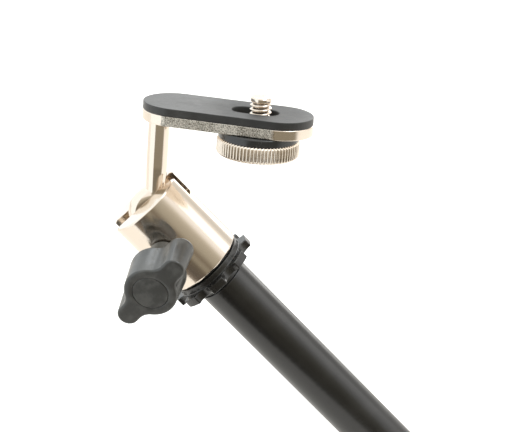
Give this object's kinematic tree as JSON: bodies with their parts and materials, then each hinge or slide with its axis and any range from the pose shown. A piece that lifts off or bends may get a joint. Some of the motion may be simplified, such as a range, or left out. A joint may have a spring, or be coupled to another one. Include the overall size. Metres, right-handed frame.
{
  "type": "tilting camera platform on a stand rod",
  "caption": "Slotted camera platform on a post that tilts in a slotted head with a wing clamp, locked by a star ring on a threaded stand rod.",
  "frame": {"origin": "centre of the mouth of the threaded hole in the rod's lower end", "axes": "+Z along the camera screw, away from the platform; +X along the platform from its post to the camera screw; the rod falls away towards +X, 19.4 degrees round from the platform and 43.9 degrees below level"},
  "size_m": [0.0994, 0.0683, 0.1281],
  "materials": {
    "black_tube": "satin black coating",
    "black_metal": "satin black",
    "plain_steel": "turned, lightly oiled",
    "black_fibre": "matte black",
    "black_plastic": "semi-gloss moulded black",
    "polished_nickel": "polished nickel plating",
    "nickel_plate": "nickel plated steel",
    "grey_plastic": "matte charcoal moulding",
    "brass": "turned",
    "black_rubber": "matte"
  },
  "bodies": {
    "rod": {"rod_tube": "black_tube", "rod_plug": "black_metal", "rod_stud": "plain_steel", "lower_plug": "black_metal"},
    "lock_washer": {"lock_washer": "black_fibre"},
    "lock_ring": {"lock_ring": "black_plastic", "lock_insert": "plain_steel"},
    "head": {"head_housing": "polished_nickel", "head_bush": "plain_steel", "tilt_pin": "polished_nickel"},
    "brake_shoe": {"brake_shoe": "plain_steel"},
    "clamp_tip": {"clamp_tip": "brass"},
    "wing_knob": {"wing_knob": "grey_plastic", "knob_cap": "grey_plastic", "clamp_screw": "plain_steel"},
    "post": {"tilt_post": "polished_nickel"},
    "platform": {"camera_plate": "nickel_plate", "rubber_pad": "black_rubber", "post_screw": "plain_steel", "post_washer": "plain_steel"},
    "wheel_collar": {"wheel_collar": "black_fibre"},
    "camera_screw": {"camera_screw": "nickel_plate", "thumbwheel": "nickel_plate"}
  },
  "joints": [
    {"name": "head_swivel", "type": "hinge", "parent": "rod", "child": "head", "pos_m": [-0.08224, -0.02896, 0.0839], "axis": [-0.6796, -0.2393, 0.6934], "range_deg": [-180, 180]},
    {"name": "lock_ring_travel", "type": "slide", "parent": "rod", "child": "lock_washer", "axis": [0.6796, 0.2393, -0.6934], "range_m": [0, 0.0009]},
    {"name": "lock_ring_turn", "type": "hinge", "parent": "lock_washer", "child": "lock_ring", "pos_m": [-0.06654, -0.02343, 0.06788], "axis": [0.6796, 0.2393, -0.6934], "range_deg": [0, 200]},
    {"name": "brake_shoe_drop", "type": "slide", "parent": "head", "child": "brake_shoe", "axis": [0.6796, 0.2393, -0.6934], "range_m": [0, 0.00032]},
    {"name": "clamp_screw_travel", "type": "slide", "parent": "head", "child": "clamp_tip", "axis": [-0.0515, 0.9585, 0.2804], "range_m": [-0.0021, 0]},
    {"name": "wing_knob_turn", "type": "hinge", "parent": "clamp_tip", "child": "wing_knob", "pos_m": [-0.07621, -0.02684, 0.07775], "axis": [-0.0515, 0.9585, 0.2804], "range_deg": [-720, 0]},
    {"name": "post_tilt", "type": "hinge", "parent": "head", "child": "post", "pos_m": [-0.08224, -0.02896, 0.0839], "axis": [-0.3322, 0.9432, 0], "range_deg": [-131, 38]},
    {"name": "platform_turn", "type": "hinge", "parent": "post", "child": "platform", "pos_m": [-0.08224, -0.02896, 0.1127], "axis": [0, 0, 1], "continuous": true},
    {"name": "camera_screw_slide", "type": "slide", "parent": "platform", "child": "wheel_collar", "axis": [1, 0, 0], "range_m": [-0.00485, 0.00185]},
    {"name": "thumbwheel_turn", "type": "hinge", "parent": "wheel_collar", "child": "camera_screw", "pos_m": [-0.05239, -0.02896, 0.1089], "axis": [0, 0, 1], "continuous": true}
  ],
  "couplings": [
    {"joint": "lock_ring_travel", "follows": "lock_ring_turn", "m_per_rad": 0.00025266},
    {"joint": "clamp_screw_travel", "follows": "wing_knob_turn", "m_per_rad": 0.00015915},
    {"joint": "brake_shoe_drop", "follows": "wing_knob_turn", "m_per_rad": -0.000023873}
  ]
}
